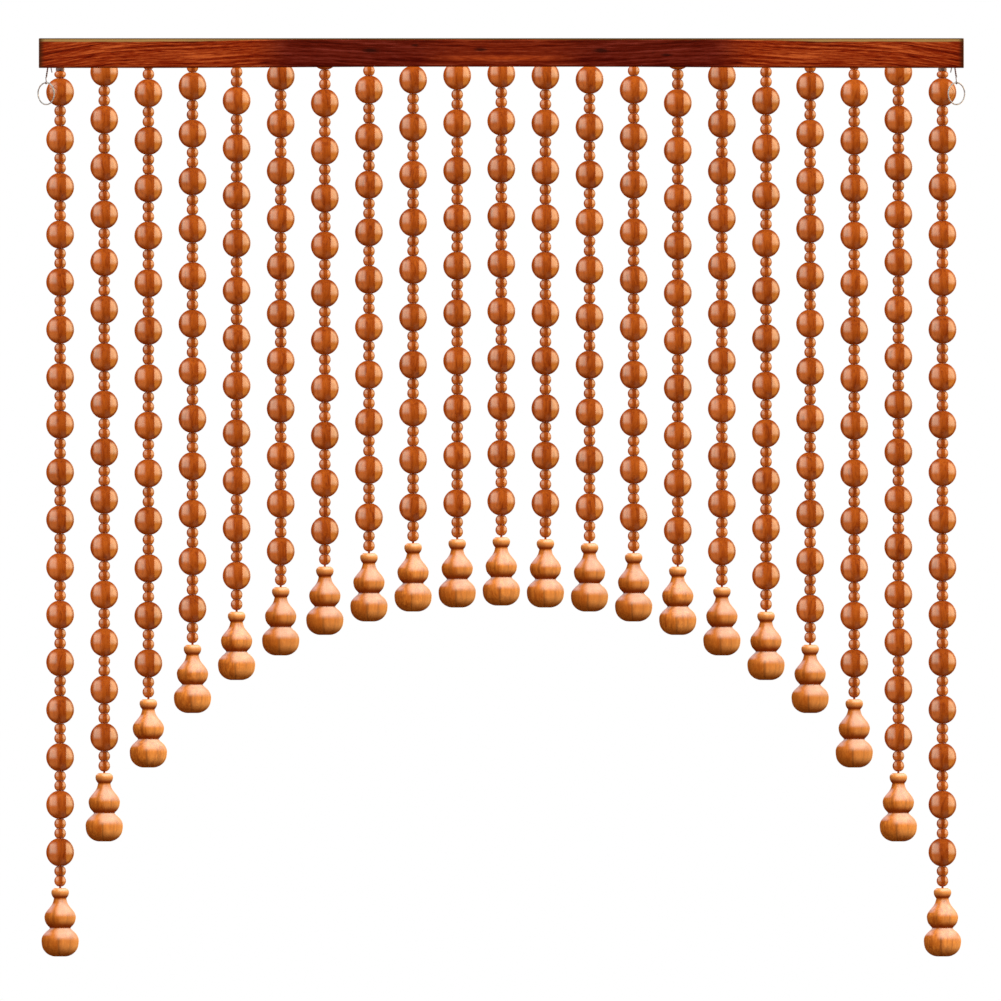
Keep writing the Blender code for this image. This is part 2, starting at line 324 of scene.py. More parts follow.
def gourd_material():
    """Lighter waxed wood with dark upright grain lines, and painted shade in the creases that the tool left.
    """
    material, shader, surface = new_material("waxed_gourd_wood")
    grain_at = shader.attribute("grain_at", "Vector")
    tint = shader.attribute("tint", "Fac")
    crease = shader.attribute("crease", "Fac")
    around = shader.attribute("around", "Fac")
    depth = shader.attribute("depth", "Fac")
    cloud = shader.noise(shader.stretch(grain_at, (0.12, 0.12, 0.04)), 1.0, 2.0)
    rings = shader.noise(shader.stretch(grain_at, (0.42, 0.42, 0.012)), 1.0, 3.0, 0.5, 0.3)
    lines = shader.noise(shader.stretch(grain_at, (0.75, 0.75, 0.018), (3.0, 1.0, 0.0)), 1.0, 2.0, 0.5, 0.2)
    fibre = shader.noise(shader.stretch(grain_at, (2.4, 2.4, 0.10)), 1.0, 3.0, 0.6)
    pores = shader.noise(shader.stretch(grain_at, (6.0, 6.0, 0.45)), 1.0, 1.0)
    wood = shader.ramp(
        rings,
        (
            (0.30, srgb(104, 44, 8)),
            (0.46, srgb(127, 62, 15)),
            (0.60, srgb(140, 74, 22)),
            (0.75, srgb(112, 50, 10)),
        ),
    )
    mottle = shader.noise(shader.stretch(grain_at, (0.55, 0.55, 0.30), (7.0, 0.0, 5.0)), 1.0, 3.0, 0.6)
    wood = shader.mix(shader.step(lines, 0.54, 0.62, 0.0, 0.4), wood, srgb(84, 36, 6))
    wood = shader.mix(shader.step(mottle, 0.52, 0.68, 0.0, 0.42), wood, srgb(168, 96, 32))
    wood = shader.mix(shader.step(mottle, 0.48, 0.34, 0.0, 0.42), wood, srgb(94, 36, 5))
    wood = shader.mix(shader.step(fibre, 0.4, 0.8, 0.0, 0.35), wood, srgb(104, 46, 9))
    wood = shader.mix(shader.step(cloud, 0.4, 0.7, 0.0, 0.3), wood, srgb(150, 84, 28))
    wood = shader.mix(shader.step(pores, 0.66, 0.74, 0.0, 0.6), wood, srgb(78, 36, 10))
    wood = shader.mix(shader.step(tint, 0.0, 1.0, 0.0, 0.6), wood, srgb(114, 53, 11))
    # The collar is paler
    wood = shader.mix(shader.step(depth, 4.5, 6.5, 0.3, 0.0), wood, srgb(182, 128, 74))
    wavering = shader.add(around, shader.multiply(shader.subtract(cloud, 0.5), 0.16))
    for place, half_width, start, stop, strength in GRAIN_LINES:
        away = shader.math("ABSOLUTE", shader.subtract(wavering, place))
        line = shader.step(away, half_width * 0.3, half_width * 1.5, strength, 0.0)
        line = shader.multiply(line, shader.step(depth, start, start + 3.0))
        line = shader.multiply(line, shader.step(depth, stop - 3.0, stop, 1.0, 0.0))
        wood = shader.mix(line, wood, srgb(70, 30, 6))
    # Painted shade in the creases, reaching mostly up over the undersides above them
    wood = shader.mix(shader.multiply(crease, 0.72), wood, srgb(94, 21, 1))
    shader.put(surface.inputs["Base Color"], wood)
    polish = shader.multiply(shader.polish(0.35, 0.78, 0.25), shader.subtract(1.0, crease))
    shader.put(surface.inputs["Coat Weight"], polish)
    shader.put(surface.inputs["Roughness"], shader.step(fibre, 0.2, 0.8, 0.36, 0.5))
    surface.inputs["Specular IOR Level"].default_value = 0.0
    surface.inputs["Coat Roughness"].default_value = 0.0
    height = shader.subtract(shader.multiply(fibre, 0.4), shader.step(pores, 0.66, 0.74))
    shader.put(surface.inputs["Normal"], shader.bump(height, 0.06 * MM, 0.5))
    return material


def rail_streaks(shader, along, y, z):
    """Streaks that rise and fall along the rail. Return their tone, the finest of them and the pores."""
    # How high one grain line runs, from the middle to the ends
    share = shader.math("DIVIDE", along, RAIL_LENGTH / 2 / MM)
    sweep = shader.node("ShaderNodeFloatCurve", {"Value": share})
    curve = sweep.mapping.curves[0]
    curve.points[0].location = (0.0, 0.53)
    curve.points[1].location = (1.0, 0.03)
    for place, height in ((0.25, 0.60), (0.48, 0.76), (0.64, 0.62), (0.81, 0.53), (0.93, 0.25)):
        curve.points.new(place, height)
    sweep.mapping.update()
    level = shader.subtract(z, shader.multiply(sweep.outputs[0], 17.0))
    grain_at = shader.combine(X=along, Y=y, Z=level)
    broad_at = shader.stretch(grain_at, (0.006, 0.15, 0.30), (0.0, 1.5, 0.0))
    bands_at = shader.stretch(grain_at, (0.020, 0.45, 0.62), (5.0, 5.55, 2.0))
    fine_at = shader.stretch(grain_at, (0.11, 1.6, 2.0), (0.0, 18.0, 0.0))
    broad = shader.noise(broad_at, 1.0, 3.0, 0.5, 0.5)
    bands = shader.noise(bands_at, 1.0, 4.0, 0.6, 0.5)
    fine = shader.noise(fine_at, 1.0, 3.0, 0.6, 0.3)
    pores = shader.noise(shader.stretch(grain_at, (0.30, 2.0, 7.0)), 1.0, 1.0)
    tone = 0.0
    for streaks, weight in ((broad, 0.7), (bands, 2.5), (fine, 1.7)):
        tone = shader.add(tone, shader.multiply(shader.subtract(streaks, 0.5), weight))
    # The streaks are fainter through the heartwood
    tone = shader.add(shader.multiply(tone, shader.step(along, 130.0, 190.0, 0.66, 1.0)), 0.5)
    return tone, fine, shader.step(pores, 0.64, 0.72)


def add_heartwood(shader, wood, along, z, fine):
    """Darken the wood each side of the middle, and run an orange band through it."""
    ends = shader.step(along, 150.0, 185.0, 1.0, 0.0)
    heart = shader.multiply(ends, shader.step(along, 20.0, 75.0, 0.62, 1.0))
    heart_wood = shader.mix(1.0, wood, srgb(172, 148, 250), "MULTIPLY")
    wood = shader.mix(heart, wood, heart_wood)
    from_band = shader.math("ABSOLUTE", shader.add(z, 14.2))
    band = shader.step(from_band, 0.8, 2.6, 1.0, 0.0)
    band = shader.multiply(band, shader.step(along, 15.0, 60.0, 0.8, 0.0))
    band_wood = shader.mix(shader.step(fine, 0.35, 0.65), srgb(108, 28, 7), srgb(152, 58, 19))
    return shader.mix(band, wood, band_wood)


def add_knots(shader, wood, x, z, fine):
    for knot_x, knot_z, size in KNOTS:
        across = shader.math("DIVIDE", shader.subtract(x, knot_x), 3.2 * size)
        up = shader.math("DIVIDE", shader.subtract(z, knot_z), size)
        away = shader.length(shader.combine(X=across, Y=up))
        ragged = shader.add(away, shader.multiply(shader.subtract(fine, 0.5), 2.0))
        wood = shader.mix(shader.step(ragged, 0.3, 1.6, 0.8, 0.0), wood, srgb(28, 5, 5))
    return wood


def add_wear(shader, wood, at, along, y, z):
    """Wear the top's edges down to pale wood with a dark line along them, and the top between them in
    patches.
    """
    from_side = shader.math("ABSOLUTE", y)
    ragged = shader.noise(shader.stretch(at, (60.0, 300.0, 300.0)), 1.0, 3.0)
    worn_from = shader.step(along, 150.0, 245.0, -1.0, -2.5)
    worn_from = shader.add(worn_from, shader.multiply(shader.subtract(ragged, 0.5), 1.2))
    worn = shader.step(shader.subtract(z, worn_from), -0.4, 0.4)
    inside = shader.multiply(shader.step(z, -0.3, -0.1), shader.step(from_side, 12.0, 13.4, 1.0, 0.0))
    patches = shader.noise(shader.stretch(at, (14.0, 150.0, 150.0)), 1.0, 4.0, 0.6)
    spared = shader.multiply(inside, shader.step(patches, 0.52, 0.70, 1.0, 0.6))
    worn = shader.multiply(worn, shader.subtract(1.0, spared))
    worn_wood = shader.mix(shader.step(along, 120.0, 250.0), srgb(84, 58, 24), srgb(132, 100, 58))
    # A dark line along the top's edges
    dark_line = shader.multiply(shader.step(z, -1.1, -0.5), shader.step(from_side, 11.8, 13.2))
    worn_wood = shader.mix(dark_line, worn_wood, srgb(42, 34, 12))
    return shader.mix(shader.multiply(worn, 0.92), wood, worn_wood)


def sawn_end_wood(shader, at, y, z):
    """Growth rings about the tree's heart, open pores, and a few dark saw marks."""
    heart_y = 24.0
    heart_z = -46.0
    radius = shader.length(shader.combine(X=shader.subtract(y, heart_y), Y=shader.subtract(z, heart_z)))
    wander = shader.multiply(shader.noise(at, 90.0, 3.0), 14.0)
    rings = shader.math("SINE", shader.add(shader.multiply(radius, 4.4), wander))
    wood = shader.mix(shader.step(rings, -0.7, 0.9), srgb(64, 20, 7), srgb(92, 36, 14))
    pores = shader.noise(at, 2600.0, 1.0)
    wood = shader.mix(shader.step(pores, 0.60, 0.68, 0.0, 0.7), wood, srgb(36, 10, 4))
    saw_marks = shader.noise(shader.stretch(at, (0.0, 120.0, 1500.0)), 1.0, 2.0)
    return shader.mix(shader.step(saw_marks, 0.55, 0.75, 0.0, 0.5), wood, srgb(50, 18, 8))


def rail_material():
    """Rosewood: streaks that mirror about the middle, heartwood, knots, a worn top and sawn ends."""
    material, shader, surface = new_material("rosewood_rail")
    at = shader.node("ShaderNodeTexCoord").outputs["Object"]
    parts = shader.node("ShaderNodeSeparateXYZ", {"Vector": at})
    # From here on in millimetres, from the middle of the rail's top
    x, y, z = (shader.multiply(parts.outputs[i], 1.0 / MM) for i in range(3))
    along = shader.math("ABSOLUTE", x)
    end = RAIL_LENGTH / 2 / MM
    foot = -RAIL_HEIGHT / MM
    tone, fine, pores = rail_streaks(shader, along, y, z)
    wood = shader.ramp(
        tone,
        (
            (0.04, srgb(62, 3, 1)),
            (0.28, srgb(94, 14, 2)),
            (0.50, srgb(117, 31, 5)),
            (0.72, srgb(137, 51, 17)),
            (0.94, srgb(164, 72, 30)),
        ),
    )
    wood = shader.mix(shader.multiply(pores, 0.6), wood, srgb(30, 4, 2))
    wood = add_heartwood(shader, wood, along, z, fine)
    wood = add_knots(shader, wood, x, z, fine)
    # A dark lower edge
    wood = shader.mix(shader.step(z, foot + 0.7, foot + 1.9, 0.65, 0.0), wood, srgb(48, 5, 1))
    wood = add_wear(shader, wood, at, along, y, z)
    # Painted shade darkens the last few millimetres towards each end, and the end faces are sawn across the
    # grain
    wood = shader.mix(shader.step(along, end - 5.0, end - 0.2, 0.0, 0.9), wood, srgb(40, 17, 6))
    wood = shader.mix(shader.step(along, end - 0.25, end - 0.1), wood, sawn_end_wood(shader, at, y, z))
    shader.put(surface.inputs["Base Color"], wood)
    shader.put(surface.inputs["Roughness"], shader.step(fine, 0.2, 0.8, 0.34, 0.5))
    surface.inputs["Specular IOR Level"].default_value = 0.0
    surface.inputs["Coat Weight"].default_value = 0.3
    surface.inputs["Coat Roughness"].default_value = 0.08
    height = shader.subtract(shader.multiply(fine, 0.4), pores)
    shader.put(surface.inputs["Normal"], shader.bump(height, 0.08 * MM, 0.5))
    return material


def metal_material(name, light, dark, metallic, roughness_low, roughness_high):
    """Metal with fine scratches and patches of tarnish. The duller it is, the less metallic."""
    material, shader, surface = new_material(name)
    at = shader.node("ShaderNodeTexCoord").outputs["Object"]
    patches = shader.noise(at, 900.0, 3.0)
    scratches = shader.noise(at, 6000.0, 2.0)
    shader.put(surface.inputs["Base Color"], shader.mix(shader.step(patches, 0.4, 0.65), light, dark))
    surface.inputs["Metallic"].default_value = metallic
    shader.put(surface.inputs["Roughness"], shader.step(patches, 0.3, 0.7, roughness_low, roughness_high))
    shader.put(surface.inputs["Normal"], shader.bump(scratches, 0.02 * MM, 0.4))
    return material


def cord_material():
    material, shader, surface = new_material("waxed_cord")
    at = shader.node("ShaderNodeTexCoord").outputs["Object"]
    inputs = {"Vector": at, "Scale": 900.0, "Distortion": 2.0}
    plies = shader.node("ShaderNodeTexWave", inputs, wave_type="BANDS", bands_direction="DIAGONAL")
    ply = plies.outputs["Fac"]
    shader.put(surface.inputs["Base Color"], shader.mix(ply, srgb(116, 48, 16), srgb(158, 76, 30)))
    surface.inputs["Roughness"].default_value = 0.7
    shader.put(surface.inputs["Normal"], shader.bump(ply, 0.1 * MM, 0.8))
    return material


def floor_material():
    material, shader, surface = new_material("pale_floor")
    at = shader.node("ShaderNodeTexCoord").outputs["Object"]
    mottle = shader.noise(at, 6.0, 4.0)
    shader.put(surface.inputs["Base Color"], shader.mix(mottle, srgb(168, 167, 164), srgb(176, 175, 173)))
    surface.inputs["Roughness"].default_value = 0.8
    return material


def make_world():
    """White to the eye. Wood is lit softly from above, and its polish shows a warm room with windows."""
    world = bpy.data.worlds.new("studio")
    bpy.context.scene.world = world
    world.use_nodes = True
    tree = world.node_tree
    tree.nodes.clear()
    shader = Shader(tree)
    direction = shader.node("ShaderNodeTexCoord").outputs["Generated"]
    x, y, z = shader.node("ShaderNodeSeparateXYZ", {"Vector": direction}).outputs
    # Where on a ball seen from the front each direction is reflected: across and up, in radii from its middle
    twice_facing = shader.subtract(2.0, shader.multiply(y, 2.0))
    spread = shader.math("SQRT", shader.math("MAXIMUM", twice_facing, 1e-4))
    across = shader.math("DIVIDE", x, spread)
    up = shader.math("DIVIDE", z, spread)

    def between(value, start, end):
        """1 from start to end. Each is where the light is halfway, and how far it fades from there."""
        place, fade = start
        rising = shader.step(value, place - fade, place + fade)
        place, fade = end
        falling = shader.step(value, place - fade, place + fade, 1.0, 0.0)
        return shader.multiply(rising, falling)

    path = shader.node("ShaderNodeLightPath")
    rooms = []
    for panes in (PANES, PENDANT_PANES):
        room = shader.mix(shader.step(z, -0.4, 0.3), (0.45, 0.08, 0.01), (0.48, 0.2, 0.05))
        for (left, right, foot, top), light in panes:
            pane = shader.multiply(between(across, left, right), between(up, foot, top))
            room = shader.mix(pane, room, light)
        rooms.append(room)
    polish = shader.mix(path.outputs["Is Singular Ray"], *rooms)
    height = shader.multiply(shader.add(z, 1.0), 0.5)
    soft_light = shader.mix(height, LIGHT_FROM_BELOW, LIGHT_FROM_ABOVE)
    light = shader.mix(path.outputs["Is Glossy Ray"], soft_light, polish)
    colour = shader.mix(path.outputs["Is Camera Ray"], light, (1.0, 1.0, 1.0))
    background = shader.node("ShaderNodeBackground", {"Color": colour, "Strength": 1.0})
    output = shader.node("ShaderNodeOutputWorld")
    tree.links.new(background.outputs[0], output.inputs["Surface"])


def make_gourd_light(gourds):
    """A soft sun from above, in front and to the right, which only the pendants get."""
    data = bpy.data.lights.new("pendant_sun", "SUN")
    data.energy = PENDANT_SUN
    data.angle = math.radians(50.0)
    data.color = (1.0, 1.0, 0.92)
    light = bpy.data.objects.new("pendant_sun", data)
    bpy.context.scene.collection.objects.link(light)
    light.rotation_euler = Vector((0.28, -0.60, 0.75)).to_track_quat("Z", "Y").to_euler()
    light.visible_glossy = False
    receivers = bpy.data.collections.new("pendants_in_sun")
    for gourd in gourds:
        receivers.objects.link(gourd)
    light.light_linking.receiver_collection = receivers


def make_floor(material):
    mesh = bpy.data.meshes.new("floor")
    corners = [(FLOOR_REACH * x, FLOOR_REACH * y, 0.0) for x, y in ((-1, -1), (1, -1), (1, 1), (-1, 1))]
    mesh.from_pydata(corners, [], [(0, 1, 2, 3)])
    floor = bpy.data.objects.new("floor", mesh)
    mesh.materials.append(material)
    floor.location.z = FLOOR_Z
    bpy.context.scene.collection.objects.link(floor)
    # Seen, but it throws no light up under the beads
    floor.visible_diffuse = False
    floor.visible_glossy = False


def turn(outline, segments):
    """Turn a closed (radius, z) outline round Z. Return the points and the faces, all with four corners."""
    count = len(outline)
    angles = np.arange(segments) * math.tau / segments
    radius = np.array([point[0] for point in outline])
    z = np.array([point[1] for point in outline])
    points = np.empty((count, segments, 3))
    points[:, :, 0] = radius[:, None] * np.cos(angles)[None, :]
    points[:, :, 1] = radius[:, None] * np.sin(angles)[None, :]
    points[:, :, 2] = z[:, None]
    row = np.arange(count)
    column = np.arange(segments)
    a = row[:, None] * segments + column[None, :]
    b = row[:, None] * segments + (column[None, :] + 1) % segments
    next_row = (row[:, None] + 1) % count
    c = next_row * segments + (column[None, :] + 1) % segments
    d = next_row * segments + column[None, :]
    faces = np.stack([a, b, c, d], axis=-1).reshape(-1, 4)
    return points.reshape(-1, 3), faces


def bead_outline(bead, rounded_foot, cut):
    """A drilled bead, from its lower end up the outside and back down the hole. A cut flattens its top."""
    lip_radius = HOLE_RADIUS + HOLE_LIP
    high = bead.height / 2 - BEAD_CLEARANCE
    low = -high
    if rounded_foot:
        low = -bead.curve_height * math.sqrt(1.0 - (lip_radius / bead.radius) ** 2)
    if cut is not None:
        high = cut
    start = math.asin(low / bead.curve_height)
    end = math.asin(high / bead.curve_height)
    outline = []
    for step in range(bead.rings + 1):
        angle = start + (end - start) * step / bead.rings
        outline.append((bead.radius * math.cos(angle), bead.curve_height * math.sin(angle)))
    if outline[-1][0] > lip_radius + HOLE_LIP:
        outline.append((lip_radius, high))
    outline.append((HOLE_RADIUS, high - HOLE_LIP))
    outline.append((HOLE_RADIUS, low + HOLE_LIP))
    if outline[0][0] > lip_radius + HOLE_LIP:
        outline.append((lip_radius, low))
    return outline


def smooth_run(run):
    """Pass a Catmull-Rom curve through the points of one run."""
    points = [np.array(p, float) for p in run]
    ends = [2 * points[0] - points[1], *points, 2 * points[-1] - points[-2]]
    result = []
    for p0, p1, p2, p3 in zip(ends, ends[1:], ends[2:], ends[3:]):
        for step in range(POINTS_PER_SPAN):
            t = step / POINTS_PER_SPAN
            a = 2 * p1
            b = (p2 - p0) * t
            c = (2 * p0 - 5 * p1 + 4 * p2 - p3) * t * t
            d = (3 * p1 - p0 - 3 * p2 + p3) * t**3
            result.append((a + b + c + d) / 2)
    result.append(points[-1])
    return result


def gourd_outline():
    """Return the gourd's outside as (radius, z) points from the collar down, and its creases' depths."""
    runs = [smooth_run(run) for run in (COLLAR, UPPER_BULB, LOWER_BULB)]
    crease_depths = [COLLAR[-1][0], UPPER_BULB[-1][0]]
    outside = [*runs[0], *runs[1][1:], *runs[2][1:]]
    outline = [(radius * MM, -depth * MM) for depth, radius in outside]
    return outline, [depth * MM for depth in crease_depths]


class Gathered:
    """Collects turned shapes into one mesh, with the grain's place and the tint at each point."""

    def __init__(self):
        self.points = []
        self.faces = []
        self.grain = []
        self.tints = []
        self.count = 0

    def add(self, points, faces, grain, tint):
        self.points.append(points)
        self.faces.append(faces + self.count)
        self.grain.append(grain)
        self.tints.append(np.full(len(points), tint))
        self.count += len(points)

    def mesh(self, name):
        mesh = bpy.data.meshes.new(name)
        points = np.concatenate(self.points)
        faces = np.concatenate(self.faces)
        mesh.from_pydata(points.tolist(), [], faces.tolist())
        mesh.shade_smooth()
        grain = mesh.attributes.new("grain_at", "FLOAT_VECTOR", "POINT")
        grain.data.foreach_set("vector", np.concatenate(self.grain).astype(np.float32).ravel())
        tint = mesh.attributes.new("tint", "FLOAT", "POINT")
        tint.data.foreach_set("value", np.concatenate(self.tints).astype(np.float32))
        return mesh


def grain_of(points, draw, lean):
    """Where each point was in the log, in millimetres. Each turned piece draws its own place and lean."""
    tilt = Matrix.Rotation(draw.uniform(-lean, lean), 3, "X")
    tilt = tilt @ Matrix.Rotation(draw.uniform(-lean, lean), 3, "Y")
    spin = Matrix.Rotation(draw.uniform(0.0, math.tau), 3, "Z")
    place = np.array([draw.uniform(-500.0, 500.0) for _ in range(3)])
    return points @ np.array(tilt @ spin).T / MM + place


def show(name, mesh, node, material):
    piece = bpy.data.objects.new(name, mesh)
    if material:
        mesh.materials.append(material)
    bpy.context.scene.collection.objects.link(piece)
    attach(piece, "root")
    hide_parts(node)
    return piece


def cord_tube(low, high):
    """A round cord from one height to another, its ends closed by fans of four-cornered faces."""
    angles = np.arange(CORD_SIDES) * math.tau / CORD_SIDES
    heights = np.array([low, high])
    points = np.empty((2, CORD_SIDES, 3))
    points[:, :, 0] = CORD_RADIUS * np.cos(angles)[None, :]
    points[:, :, 1] = CORD_RADIUS * np.sin(angles)[None, :]
    points[:, :, 2] = heights[:, None]
    faces = []
    for i in range(CORD_SIDES):
        j = (i + 1) % CORD_SIDES
        faces.append((i, j, CORD_SIDES + j, CORD_SIDES + i))
    for i in range(1, CORD_SIDES - 2, 2):
        faces.append((0, i + 2, i + 1, i))
        faces.append((CORD_SIDES, CORD_SIDES + i, CORD_SIDES + i + 1, CORD_SIDES + i + 2))
    return points.reshape(-1, 3), np.array(faces)


def strand_beads(foot, ceiling):
    """List each bead's kind, middle and cut, from the pendant up, until the rail hides the next one."""
    z = foot + FOOT_LENGTH
    beads = []
    for bead in itertools.cycle(STRINGING):
        middle = z + bead.height / 2
        z += bead.height
        if z > ceiling:
            left = ceiling - z + bead.height
            if left > bead.height / 2:
                # It fits when it is a little flatter
                flatter = left / bead.height
                bead = bead._replace(height=left, curve_height=flatter * bead.curve_height)
                beads.append((bead, ceiling - left / 2, None))
            else:
                beads.append((bead, middle, ceiling - middle))
            return beads
        beads.append((bead, middle, None))
        if z > -RAIL_HEIGHT:
            return beads


def build_strand(number, x, gourd_top, ceiling, draw, wood, cord):
    shape = Gathered()
    for place, (bead, middle, cut) in enumerate(strand_beads(gourd_top + GAP, ceiling)):
        points, faces = turn(bead_outline(bead, place == 0, cut), bead.segments)
        grain = grain_of(points, draw, math.radians(12.0))
        shape.add(points + np.array([0.0, 0.0, middle]), faces, grain, draw.random())
    bead_faces = sum(len(faces) for faces in shape.faces)
    points, faces = cord_tube(gourd_top - CORD_IN_GOURD, ceiling)
    shape.add(points, faces, points / MM, 0.0)
    mesh = shape.mesh(f"beads_{number:02d}")
    mesh.materials.append(wood)
    mesh.materials.append(cord)
    index = np.zeros(len(mesh.polygons), np.int32)
    index[bead_faces:] = 1
    mesh.polygons.foreach_set("material_index", index)
    mesh.transform(Matrix.Translation((x, 0.0, 0.0)))
    strand = show(f"beads_{number:02d}", mesh, f"strand_{number:02d}", None)
    # The windows alone show in the polish, not the next strand
    strand.visible_glossy = False
    return strand


def build_gourd(number, x, top, draw, wood):
    outline, crease_depths = gourd_outline()
    hole = [(HOLE_RADIUS, -GOURD_HOLE_DEPTH), (HOLE_RADIUS, -HOLE_LIP), (HOLE_RADIUS + HOLE_LIP, 0.0)]
    closed = [(0.0, -GOURD_HOLE_DEPTH), *hole, *outline, (0.0, -GOURD_HEIGHT)]
    mesh = bpy.data.meshes.new(f"turned_gourd_{number:02d}")
    bm = bmesh.new()
    rings = []
    for radius, z in closed:
        if radius == 0.0:
            rings.append([bm.verts.new((0.0, 0.0, z))])
        else:
            corners = []
            for step in range(GOURD_SEGMENTS):
                angle = step * math.tau / GOURD_SEGMENTS
                corners.append(bm.verts.new((radius * math.cos(angle), radius * math.sin(angle), z)))
            rings.append(corners)
    for upper, lower in itertools.pairwise(rings):
        for i in range(GOURD_SEGMENTS):
            j = (i + 1) % GOURD_SEGMENTS
            if len(upper) == 1:
                bm.faces.new((upper[0], lower[i], lower[j]))
            elif len(lower) == 1:
                bm.faces.new((upper[j], upper[i], lower[0]))
            else:
                bm.faces.new((upper[i], lower[i], lower[j], upper[j]))
    bmesh.ops.recalc_face_normals(bm, faces=bm.faces)
    bm.to_mesh(mesh)
    bm.free()
    mesh.shade_smooth()
    mesh.set_sharp_from_angle(angle=math.radians(50.0))
    points = np.array([v.co for v in mesh.vertices], float)
    grain = mesh.attributes.new("grain_at", "FLOAT_VECTOR", "POINT")
    grain.data.foreach_set("vector", grain_of(points, draw, math.radians(3.0)).astype(np.float32).ravel())
    tint = mesh.attributes.new("tint", "FLOAT", "POINT")
    tint.data.foreach_set("value", np.full(len(points), draw.random(), np.float32))
    depth = -points[:, 2]
    # How much painted shade each point gets from the creases near it
    crease = np.zeros(len(points))
    for crease_depth in crease_depths:
        away = depth - (crease_depth - CREASE_RISE)
        spread = np.where(away < 0.0, CREASE_ABOVE, CREASE_BELOW)
        crease = np.maximum(crease, np.exp(-((away / spread) ** 2)))
    around = points[:, 0] / np.maximum(np.hypot(points[:, 0], points[:, 1]), 0.1 * MM)
    for attribute, values in (("crease", crease), ("around", around), ("depth", depth / MM)):
        layer = mesh.attributes.new(attribute, "FLOAT", "POINT")
        layer.data.foreach_set("value", values.astype(np.float32))
    mesh.transform(Matrix.Translation((x, 0.0, top)))
    gourd = show(f"turned_gourd_{number:02d}", mesh, f"gourd_{number:02d}", wood)
    gourd.visible_glossy = False
    return gourd


def box_mesh(name, size, centre):
    mesh = bpy.data.meshes.new(name)
    bm = bmesh.new()
    bmesh.ops.create_cube(bm, size=1.0, matrix=Matrix.Translation(centre) @ Matrix.Diagonal((*size, 1.0)))
    bm.to_mesh(mesh)
    bm.free()
    return mesh


def arch_underside(mesh):
    """Raise the rail's underside a little towards the middle."""
    bm = bmesh.new()
    bm.from_mesh(mesh)
    for step in range(-ARCH_STEPS, ARCH_STEPS + 1):
        place = Vector((ARCH_END * step / ARCH_STEPS, 0.0, 0.0))
        geometry = [*bm.verts, *bm.edges, *bm.faces]
        bmesh.ops.bisect_plane(bm, geom=geometry, plane_co=place, plane_no=Vector((1.0, 0.0, 0.0)))
    for corner in bm.verts:
        if corner.co.z < -RAIL_HEIGHT / 2:
            t = min(1.0, max(0.0, (ARCH_END - abs(corner.co.x)) / (ARCH_END - ARCH_FLAT)))
            share = (-RAIL_HEIGHT / 2 - corner.co.z) / (RAIL_HEIGHT / 2)
            corner.co.z += ARCH_RISE * t * t * (3.0 - 2.0 * t) * share
    bm.to_mesh(mesh)
    bm.free()


def build_rail(wood):
    centre = Vector((0.0, 0.0, -RAIL_HEIGHT / 2))
    mesh = box_mesh("rail_wood", (RAIL_LENGTH, RAIL_DEPTH, RAIL_HEIGHT), centre)
    bm = bmesh.new()
    bm.from_mesh(mesh)
    top = [e for e in bm.edges if all(v.co.z > -MM for v in e.verts) and e.calc_length() > 2 * RAIL_DEPTH]
    bmesh.ops.bevel(bm, geom=top, offset=RAIL_TOP_ROUND, affect="EDGES", segments=6, profile=0.5)
    end = RAIL_LENGTH / 2 - 0.1 * MM
    sharp = []
    for edge in bm.edges:
        corners = [v.co for v in edge.verts]
        at_an_end = all(abs(c.x) > end for c in corners) and corners[0].x * corners[1].x > 0
        if at_an_end or all(c.z < 0.1 * MM - RAIL_HEIGHT for c in corners):
            sharp.append(edge)
    bmesh.ops.bevel(bm, geom=sharp, offset=RAIL_EDGE_ROUND, affect="EDGES", segments=3, profile=0.5)
    bm.to_mesh(mesh)
    bm.free()
    uncut = bpy.data.objects.new("uncut_rail", mesh)
    groove_size = ((STRANDS - 2) * STRAND_PITCH, GROOVE_WIDTH, RAIL_HEIGHT)
    groove_mesh = box_mesh("groove", groove_size, centre - Vector((0.0, 0.0, RAIL_WEB)))
    groove = bpy.data.objects.new("groove", groove_mesh)
    for item in (uncut, groove):
        bpy.context.scene.collection.objects.link(item)
    cut = uncut.modifiers.new("groove", "BOOLEAN")
    cut.operation = "DIFFERENCE"
    cut.object = groove
    bpy.context.view_layer.update()
    grooved = bpy.data.meshes.new_from_object(uncut.evaluated_get(bpy.context.evaluated_depsgraph_get()))
    grooved.name = "rail_wood"
    arch_underside(grooved)
    for item in (uncut, groove):
        bpy.data.objects.remove(item)
    grooved.shade_smooth()
    grooved.set_sharp_from_angle(angle=math.radians(35.0))
    rail = show("rail_wood", grooved, "rail", wood)
    # The light reaches the beads below as if the rail were not over them
    rail.visible_shadow = False
    rail.visible_diffuse = False
    rail.visible_glossy = False
    return rail


def wire_mesh(name, paths, radius, cyclic=False):
    """Draw round wires along paths and return them as one mesh."""
    curve = bpy.data.curves.new(name, "CURVE")
    curve.dimensions = "3D"
    curve.bevel_depth = radius
    curve.bevel_resolution = 3
    curve.use_fill_caps = True
    for path in paths:
        spline = curve.splines.new("POLY")
        spline.points.add(len(path) - 1)
        for target, point in zip(spline.points, path):
            target.co = (*point, 1.0)
        spline.use_cyclic_u = cyclic
        spline.use_smooth = True
    holder = bpy.data.objects.new(name, curve)
    bpy.context.scene.collection.objects.link(holder)
    bpy.context.view_layer.update()
    mesh = bpy.data.meshes.new_from_object(holder.evaluated_get(bpy.context.evaluated_depsgraph_get()))
    bpy.data.objects.remove(holder)
    mesh.name = name
    return mesh


def mirrored(point, mirror):
    return Vector((mirror * point.x, point.y, point.z))


